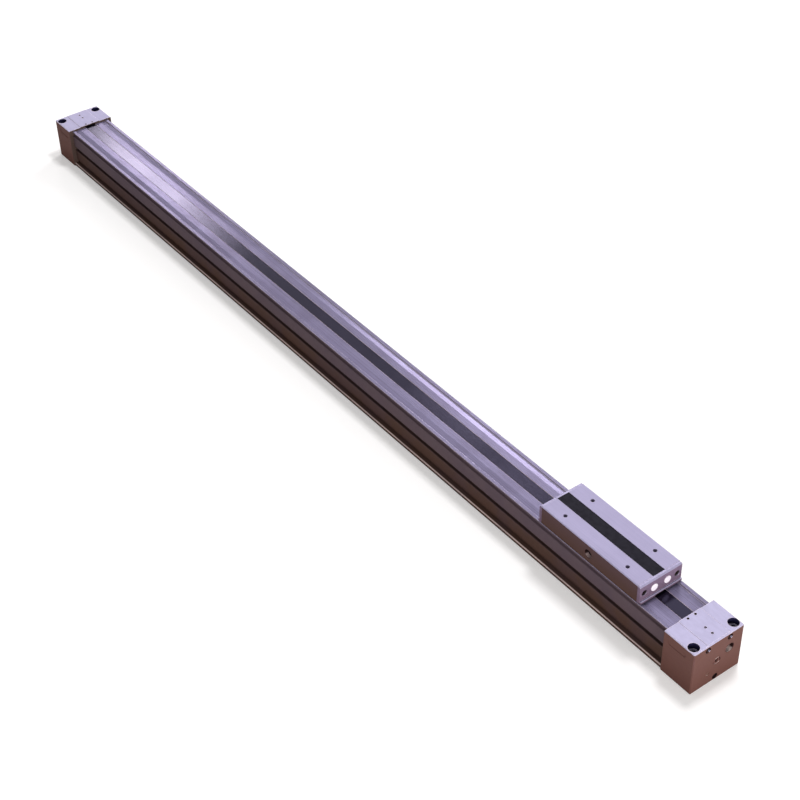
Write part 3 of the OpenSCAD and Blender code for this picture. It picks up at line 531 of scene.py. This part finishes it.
black_screw = plain_metal("blackened screw", (36, 24, 24), (24, 16, 18), (0.35, 0.5), 0.1, 0.05)
zinc_screw = plain_metal("zinc screw", (150, 144, 168), (132, 126, 150), (0.35, 0.5), 0.4, 0.1)
screws = screws_tree("screws", black_screw)
pale_screws = screws_tree("pale screws", zinc_screw)
TUBE_BOLTS = [(-0.016, 0.0545), (0.016, 0.0545), (0, 0.00465)]
BOLT_HEAD_H = 0.004
GRUB_R = 0.0015
tube_bolt = cap_screw("tube bolt form", 0.002, 0.0505, 0.0035, BOLT_HEAD_H, 0.003)
clamp_screw = grub_screw("clamp screw form", GRUB_R, 0.0032, 0.0015)
bleed_screw = grub_screw("bleed screw form", GRUB_R, 0.005, 0.0015)
for end, way in ENDS.items():
    seat = outer_face("tube_bolts_" + end, way) - way * BOLT_HEAD_H
    piece("cover_bolts_" + end, [(seat, y, z) for y, z in TUBE_BOLTS], screws, "barrel",
          "black_steel", ["tube_bolts_" + end], turns=[facing_out(way)] * 3, Form=tube_bolt)
    low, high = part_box("clamp_screws_" + end)
    reach = high.y - GRUB_R
    piece("band_clamp_screws_" + end,
          [((low.x + high.x) / 2, y, high.z) for y in (-reach, reach)], screws, "barrel",
          "black_steel", ["clamp_screws_" + end], turns=[(0, 0, 0)] * 2, Form=clamp_screw, Seed=8)
    low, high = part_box("bleed_screws_" + end)
    piece("pad_screws_" + end,
          [(x, 0, high.z) for x in (low.x + GRUB_R, high.x - GRUB_R)], pale_screws, "barrel",
          "black_steel", ["bleed_screws_" + end], turns=[(0, 0, 0)] * 2, Form=bleed_screw, Seed=2)

# ---- Port plugs and cushion needles ----
# A zinc-plated plug closes the drilling on the bore axis. The slotted brass needle beside it sets
# the end cushion, and turns on its own.
plug_low, plug_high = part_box("port_plug_near")
PLUG_R = (plug_high.z - plug_low.z) / 2
PLUG_L, PLUG_BEVEL, PLUG_KEY = 0.0087, 0.0009, 0.005
plug_mid = plug_low.z + PLUG_R
# The plug's upper rim is painted pale as a highlight, and the rest brown as shade, as on the
# cover's end face.
plug_finish = anodised(
    "plug with painted highlight", (240, 222, 214), (112, 78, 72), (112, 78, 72), (0, 0.01),
    line=(0.002, 0.0006), line_depth=0.1, polish=(0.3, 0.4), metal=0.4, edge_radius=0.0002,
    stain=0.1, pale_above=plug_mid + 0.66 * PLUG_R)
plugs = screws_tree("plugs", plug_finish)
plug_form = turned("plug form", [
    (PLUG_R - 0.0005, -PLUG_L, "round"), (PLUG_R, 0.0005 - PLUG_L, "round"),
    (PLUG_R, -PLUG_BEVEL, "round"), (PLUG_R - PLUG_BEVEL, 0, "round"),
    *hex_socket(PLUG_KEY, 0.66, 0, 0.0003, -0.004, -0.005)])
for end, way in ENDS.items():
    place = (outer_face("port_plug_" + end, way), 0, plug_mid)
    piece("socket_plug_" + end, [place], plugs, "barrel", "plated_steel", ["port_plug_" + end],
          turns=[facing_out(way)], Form=plug_form)
needle_finish = plain_metal("brown brass", (130, 92, 78), (112, 78, 66), (0.3, 0.45), 0.5, 0.2)
dress(needle_finish, "cushion_needle_near", "cushion_needle_far")


# ---- Gaskets, cushion rings and seals ----
# Moulded rubber seals the tube on its covers, and the pistons in the bore. A turned brass ring
# inside each cover enters the piston at the end of its travel and damps it.
def moulded(name, base, second, rough, gloss=0.4, patch=0.006, relief=0.00002):
    """Rubber or resin: two close tones, and a fine moulded grain."""
    made, tree, shader = finish_material(name)
    marks = use(tree, handling, Patch_size=patch, Speck_size=0.0005)
    tone = mixed(tree, marks["Stain"], colour(*base), colour(*second))
    tree.links.new(tone, shader.inputs["Base Color"])
    tree.links.new(scaled(tree, marks["Stain"], 0, 1, *rough), shader.inputs["Roughness"])
    bump = add(tree, "ShaderNodeBump", {"Height": marks["Speck"], "Distance": relief})
    tree.links.new(bump.outputs[0], shader.inputs["Normal"])
    shader.inputs["Specular IOR Level"].default_value = gloss
    return made


rubber = moulded("seal rubber", (30, 28, 30), (42, 40, 42), (0.5, 0.7))
dress(rubber, "tube_gasket_near", "tube_gasket_far", "piston_seal_front", "piston_seal_rear",
      "cushion_seal_front", "cushion_seal_rear")
brass = plain_metal("turned brass", (196, 160, 92), (172, 136, 76), (0.25, 0.4), 1.0)
dress(brass, "cushion_ring_near", "cushion_ring_far")


# ---- Dust band, seal belt and their clamps ----
# A ribbon of spring steel on magnet strips closes the slit from above, and a resin belt closes it
# from inside. Both run straight from clamp to clamp. Where the yoke passes, the table lifts one and
# sinks the other, so each has a short bridge that rides with the table.
def strip_tree(name, material):
    """A flat strip swept along its path, with rounded edges."""
    tree, given, out = shape_tree(name, [("Width", "NodeSocketFloat", 0.016),
                                         ("Thickness", "NodeSocketFloat", 0.0005),
                                         ("Edge radius", "NodeSocketFloat", 0.0001)])
    path = add(tree, "GeometryNodeMeshToCurve", {0: given["Path"]})
    upright = add(tree, "GeometryNodeSetCurveNormal", {0: path.outputs[0]}, mode="Z_UP")
    section = add(tree, "GeometryNodeCurvePrimitiveQuadrilateral",
                  {"Width": given["Width"], "Height": given["Thickness"]})
    eased = add(tree, "GeometryNodeFilletCurve",
                {"Curve": section.outputs[0], "Count": 2, "Radius": given["Edge radius"]},
                mode="POLY")
    swept = add(tree, "GeometryNodeCurveToMesh",
                {0: upright.outputs[0], 1: eased.outputs[0], "Fill Caps": True})
    plane = add(tree, "GeometryNodeSetShadeSmooth", {0: swept.outputs[0], "Shade Smooth": False})
    close_tree(tree, plane.outputs[0], material, out)
    return tree


def spring_steel(name, base, rough):
    """Rolled and polished spring steel: very fine long lines, a little uneven along its length."""
    made, tree, shader = finish_material(name)
    lines = use(tree, drawn_lines, Line_length=0.6, Line_width=0.0005)["Lines"]
    marks = use(tree, handling, Patch_size=0.12, Speck_size=0.003)
    tone = mixed(tree, scaled(tree, lines, 0, 1, 0, 0.25), colour(*base), colour(28, 26, 36))
    aged = mixed(tree, scaled(tree, marks["Stain"], 0, 1, 0, 0.2), tone, colour(66, 61, 82))
    tree.links.new(aged, shader.inputs["Base Color"])
    tree.links.new(scaled(tree, marks["Stain"], 0, 1, *rough), shader.inputs["Roughness"])
    bump = add(tree, "ShaderNodeBump", {"Height": lines, "Distance": 0.000006})
    tree.links.new(bump.outputs[0], shader.inputs["Normal"])
    shader.inputs["Metallic"].default_value = 0.85
    return made


BRIDGE_FLAT, BRIDGE_RUN, BRIDGE_STEPS = 0.024, 0.062, 10


def bridge(centre, level, rise):
    """Points of a strip that leaves its level by a smooth rise and comes back, along X."""
    ramp = []
    for step in range(BRIDGE_STEPS + 1):
        share = step / BRIDGE_STEPS
        ramp.append((BRIDGE_FLAT + (BRIDGE_RUN - BRIDGE_FLAT) * share,
                     (1 + math.cos(math.pi * share)) / 2))
    sides = [(-x, lift) for x, lift in reversed(ramp)] + ramp
    return [(centre + x, 0, level + rise * lift) for x, lift in sides]


def chain(points):
    """The edges that join points one after another."""
    return [(n, n + 1) for n in range(len(points) - 1)]


table_low, table_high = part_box("slide_table")
table_x = (table_low.x + table_high.x) / 2
# The band's dark tone is a painted reflection: it stands in for the dark surroundings that the
# polished steel mirrors.
band_finish = spring_steel("spring steel band", (48, 44, 62), (0.13, 0.18))
belt_finish = moulded("belt resin", (58, 56, 60), (70, 68, 72), (0.4, 0.55))
for node, slot, width, thick, finish in (
        ("dust_band", "band_steel", 0.016, 0.0005, band_finish),
        ("seal_belt", "belt_resin", 0.0124, 0.0015, belt_finish)):
    low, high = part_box(node)
    above_slit = node == "dust_band"
    level = low.z + thick / 2 if above_slit else high.z - thick / 2
    rise = (high.z - low.z - thick) * (1 if above_slit else -1)
    strip = strip_tree(node + " strip", finish)
    straight = [(low.x, 0, level), (high.x, 0, level)]
    sizes = {"Width": width, "Thickness": thick, "Edge_radius": thick * 0.3}
    piece(node + "_straight", straight, strip, "barrel", slot, [node], chain(straight), **sizes)
    lifted = bridge(table_x, level, rise)
    piece(node + "_bridge", lifted, strip, "carriage", slot, (), chain(lifted), **sizes)
# The clamp blocks' pale tops are painted light and their darker sides painted shade.
clamp_finish = anodised("clamp block", (150, 144, 160), (110, 100, 108), (100, 92, 100),
                        (0, 0.05))
dress(clamp_finish, "belt_clamp_near", "belt_clamp_far")
magnet_finish = moulded("magnet strip", (56, 50, 50), (70, 62, 60), (0.6, 0.75), 0.2)
dress(magnet_finish, "seal_magnet_left", "seal_magnet_right", "sensor_magnets")

# ---- Slide table ----
# A milled and ground block rides on the tube. Its top has four tapped holes and a dark insert, and
# its ends are closed by thin covers.
# The table's and its end covers' pale tops are painted light, their darker sides painted shade,
# darker towards the bottom.
TABLE_TONE = (158, 152, 180)
# In the table's holes the upright walls are painted in shade, the bores dark as shade, and their
# lower walls get a painted highlight.
table_holes = {"Middle": table_x, "Outer face": table_high.x - table_x - SKIN,
               "Half width": table_high.y - 0.0005, "Upright above": 0.0768, "Upright beyond": 0.0,
               "Wall": colour(78, 70, 98), "Dark": colour(44, 28, 26), "Lit": colour(196, 172, 172)}
table_finish = anodised(
    "ground table", TABLE_TONE, (89, 68, 70), (81, 59, 50), (0.05, 0.09), line=(0.12, 0.0006),
    line_depth=0.06, polish=(0.5, 0.58), metal=0.25, edge_colour=(244, 228, 240),
    edge_radius=0.0005, stain=0.05, pale_above=0.07, holes=table_holes)
dress(table_finish, "slide_table")
end_finish = anodised(
    "table end cover", TABLE_TONE, (126, 108, 130), (110, 90, 108), (0.055, 0.085),
    line=(0.02, 0.003), polish=(0.34, 0.46), metal=0.4, edge_colour=(246, 230, 242),
    edge_radius=0.0005, stain=0.08)
dress(end_finish, "table_end_front", "table_end_rear")
insert_finish = moulded("dark insert", (31, 29, 39), (27, 25, 33), (0.45, 0.6), 0.04)
dress(insert_finish, "table_cover_strip")
TAPPED_X, TAPPED_Y = 0.05, 0.02
TAP_COUNTERSINK = 0.0005
tapped = [(table_x + x, y, table_high.z - TAP_COUNTERSINK)
          for x in (-TAPPED_X, TAPPED_X) for y in (-TAPPED_Y, TAPPED_Y)]
piece("table_threads", tapped, thread_tree("table thread", table_finish), "carriage",
      "table_aluminium", turns=[(0, 0, 0)] * 4,
      Radius=0.0026, Pitch=0.001, Depth=0.012, Ridge=0.00045)

# ---- Screws and stop buttons of the table ----
# Low head screws hold each end cover. Two white buffers stand on it, and one large screw on each
# side holds the yoke.
TABLE_ENDS = {"front": 1, "rear": -1}
END_HEAD_R, END_HEAD_H = 0.0035, 0.0023
YOKE_HEAD_R, YOKE_HEAD_H = 0.005, 0.005
BUTTON_R, BUTTON_H = 0.0047, 0.0012
end_screw = cap_screw("end screw form", 0.002, 0.0101, END_HEAD_R, END_HEAD_H, 0.0025)
yoke_screw = cap_screw("yoke screw form", 0.003, 0.0147, YOKE_HEAD_R, YOKE_HEAD_H, 0.005)
buffer_finish = moulded("white buffer", (250, 244, 250), (244, 236, 246), (0.28, 0.4), 0.5)
buffers = screws_tree("buffers", buffer_finish)
buffer_form = turned("buffer form", [
    (0.0022, -0.014, "round"), (0.0025, -0.0135, "round"), (0.0025, 0, "round"),
    (BUTTON_R, 0, "round"), (BUTTON_R, BUTTON_H - 0.0006, "round"),
    (BUTTON_R - 0.0002, BUTTON_H - 0.0003, "round"),
    (BUTTON_R - 0.0006, BUTTON_H - 0.00008, "round"),
    (BUTTON_R - 0.0017, BUTTON_H - 0.00002, "round")])


def pair_on_end(node, way, radius, height):
    """Where the heads of the two screws or buttons of a node sit on their end of the table."""
    low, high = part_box(node)
    seat = outer_face(node, way) - way * height
    reach = high.y - radius
    return [(seat, y, (low.z + high.z) / 2) for y in (-reach, reach)]


for end, way in TABLE_ENDS.items():
    turns = [facing_out(way)] * 2
    node = "end_screws_" + end
    piece("end_cover_screws_" + end, pair_on_end(node, way, END_HEAD_R, END_HEAD_H), screws,
          "carriage", "black_steel", [node], turns=turns, Form=end_screw, Seed=4)
    node = "stopper_" + end
    piece("stop_buttons_" + end, pair_on_end(node, way, BUTTON_R, BUTTON_H), buffers,
          "carriage", "plated_steel", [node], turns=turns, Form=buffer_form)
low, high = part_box("yoke_bolts")
yoke_z = (low.z + high.z) / 2
piece("yoke_screws", [(table_x, high.y - YOKE_HEAD_H, yoke_z),
                      (table_x, low.y + YOKE_HEAD_H, yoke_z)],
      screws, "carriage", "black_steel", ["yoke_bolts"],
      turns=[(-math.pi / 2, 0, 0), (math.pi / 2, 0, 0)], Form=yoke_screw, Seed=6)
for form in (tube_bolt, clamp_screw, bleed_screw, plug_form, end_screw, yoke_screw, buffer_form):
    bpy.data.objects.remove(form)

# ---- Scrapers, bearings and rollers ----
# Felt wipes the top of the tube ahead of the table. Resin slide bearings carry the table on the
# rims, and resin rollers on steel shafts press the dust band back on its magnets.
felt = moulded("scraper felt", (44, 40, 44), (60, 54, 58), (0.85, 0.95), 0.1, relief=0.0001)
dress(felt, "scraper_front", "scraper_rear")
# The bearings' dark tone stands in for the shade under the table: painted shade.
bearing_resin = moulded("bearing resin", (52, 46, 50), (42, 38, 42), (0.45, 0.6), 0.1)
dress(bearing_resin, "slide_bearing_left", "slide_bearing_right")
roller_resin = moulded("roller resin", (206, 200, 186), (192, 184, 168), (0.4, 0.55))
dress(roller_resin, "guide_roller_front", "guide_roller_rear", "wear_ring_front",
      "wear_ring_rear")
bright_steel = plain_metal("ground steel", (188, 186, 194), (168, 166, 176), (0.18, 0.3), 1.0)
dress(bright_steel, "roller_shaft_front", "roller_shaft_rear", "piston_pin_front",
      "piston_pin_rear")

# ---- Yoke and pistons ----
# The yoke joins the table to both pistons through the slit, and parts the two bands on resin
# separators. All of it is machined aluminium that works out of sight.
# Its paler tops and darker sides are painted light and shade, as on the outer parts.
inner_finish = anodised(
    "machined inside", (172, 168, 184), (156, 150, 164), (148, 142, 156), (0, 0.05),
    line=(0.02, 0.0005), polish=(0.25, 0.38), metal=0.9)
dress(inner_finish, "piston_yoke", "piston_front", "piston_rear")
separator_resin = moulded("separator resin", (52, 54, 60), (64, 66, 72), (0.4, 0.5))
dress(separator_resin, "belt_separator_front", "belt_separator_rear")

# ---- Floor and lights ----
# A plain pale floor, a bright sky for what mirrors it, and six lamps: a key and a large soft one
# overhead, one before the near end and one beside it, and two behind whose glare lies on the tube.
FLOOR = 6.0
# The floor glows more with distance, so that it meets the white sky without a line.
FLOOR_GLOW = (0.3, 1.0)
GLOW_RUN = (1.4, 3.2)
floor_corners = [(-FLOOR, -FLOOR, 0), (FLOOR, -FLOOR, 0), (FLOOR, FLOOR, 0), (-FLOOR, FLOOR, 0)]
floor_mesh = bpy.data.meshes.new("floor")
floor_mesh.from_pydata(floor_corners, [], [(0, 1, 2, 3)])
floor = bpy.data.objects.new("floor", floor_mesh)
bpy.context.scene.collection.objects.link(floor)
floor_finish = bpy.data.materials.new("pale floor")
floor_finish.use_nodes = True
tree = floor_finish.node_tree
tree.nodes.clear()


def seen_directly(tree):
    """1 for rays from the camera, off gloss or through glass, 0 for those that light the object."""
    rays = add(tree, "ShaderNodeLightPath").outputs
    total = rays["Is Camera Ray"]
    for other in ("Is Glossy Ray", "Is Transmission Ray"):
        total = maths(tree, "ADD", total, rays[other], use_clamp=True)
    return total


matt = add(tree, "ShaderNodeBsdfDiffuse", {"Color": (0.8, 0.79, 0.775, 1)})
spot = add(tree, "ShaderNodeTexCoord").outputs["Object"]
reach = add(tree, "ShaderNodeVectorMath", {0: spot}, operation="LENGTH").outputs["Value"]
lift = maths(tree, "MULTIPLY", seen_directly(tree), scaled(tree, reach, *GLOW_RUN, *FLOOR_GLOW))
glow = add(tree, "ShaderNodeEmission", {"Color": (1, 1, 1, 1), "Strength": lift})
both = add(tree, "ShaderNodeAddShader", {0: matt.outputs[0], 1: glow.outputs[0]})
add(tree, "ShaderNodeOutputMaterial", {"Surface": both.outputs[0]})
floor_mesh.materials.append(floor_finish)

world = bpy.data.worlds.new("studio")
bpy.context.scene.world = world
world.use_nodes = True
tree = world.node_tree
FILL = 0.22
strength = scaled(tree, seen_directly(tree), 0, 1, FILL, 1.0)
tree.nodes["Background"].inputs["Color"].default_value = (1, 1, 1, 1)
tree.links.new(strength, tree.nodes["Background"].inputs["Strength"])


def softbox(name, place, target, size, power, tint):
    """A square area lamp that looks at a point."""
    data = bpy.data.lights.new(name, "AREA")
    data.shape, data.size, data.energy, data.color = "SQUARE", size, power, tint
    lamp = bpy.data.objects.new(name, data)
    bpy.context.scene.collection.objects.link(lamp)
    aim = (Vector(target) - Vector(place)).to_track_quat("-Z", "Y").to_matrix().to_4x4()
    lamp.matrix_world = Matrix.Translation(place) @ aim


softbox("key", (0.05, 0.94, 3.2), (0, 0, 0), 0.6, 54, (0.98, 0.98, 1.0))
softbox("overhead", (-0.5, 0.5, 2.4), (0, 0, 0), 2.4, 10, (0.97, 0.97, 1.0))
softbox("end", (3.1, -0.3, 0.4), (0.7, 0, 0.03), 1.2, 52, (1.0, 0.98, 0.98))
softbox("near_side", (1.6, -1.45, 0.6), (0.3, 0, 0.03), 0.8, 12, (1.0, 0.97, 0.97))
softbox("far_glare", (-2.426, 0.984, 1.402), (-0.45, 0, 0.058), 0.32, 4.8, (1.0, 0.95, 0.98))
softbox("back_glare", (-1.18, 1.63, 1.27), (0.3, 0.02, 0.058), 0.7, 17, (1.0, 0.98, 1.0))

bpy.context.scene.view_settings.view_transform = "Standard"
